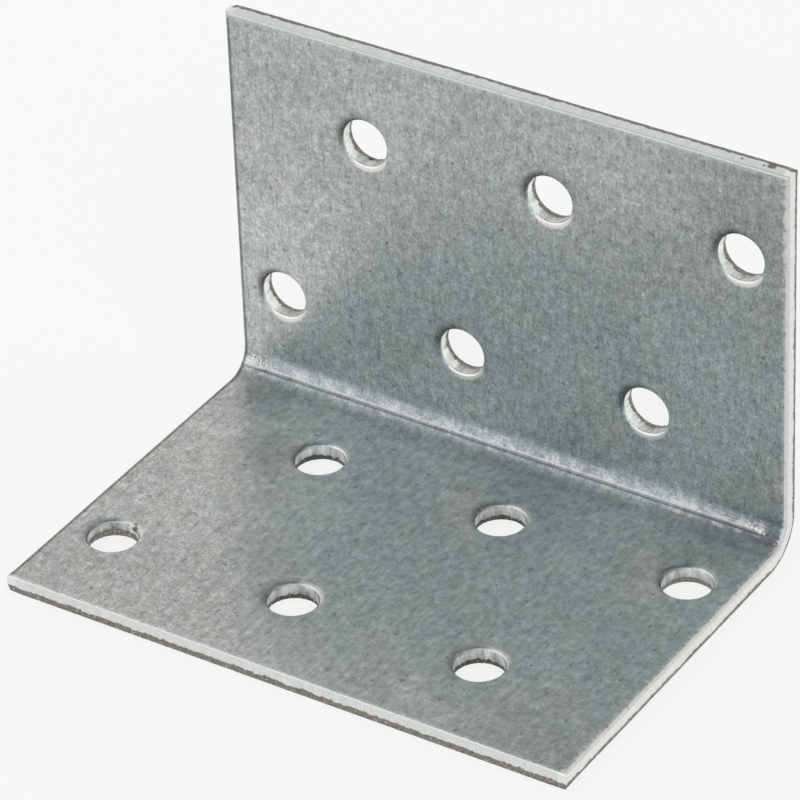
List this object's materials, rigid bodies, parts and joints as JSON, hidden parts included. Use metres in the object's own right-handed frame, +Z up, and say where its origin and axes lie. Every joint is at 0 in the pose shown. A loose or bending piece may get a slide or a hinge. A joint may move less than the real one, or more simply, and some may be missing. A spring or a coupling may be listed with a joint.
{
  "type": "angle bracket",
  "caption": "Galvanised steel angle bracket: a folded sheet with two equal leaves at a right angle and staggered screw holes, for joining timber.",
  "frame": {"origin": "middle of the bounding box in X and Y, on the underside of the lower leaf", "axes": "+X runs along the fold, to the right in the picture; +Y points from the front edge of the lower leaf to the back of the upright leaf; +Z points up the upright leaf"},
  "size_m": [0.06, 0.0414, 0.0415],
  "materials": {
    "galvanised_steel": "matt zinc coating with bare sheared edges"
  },
  "bodies": {
    "root": {"angle_bracket": "galvanised_steel"}
  },
  "joints": []
}
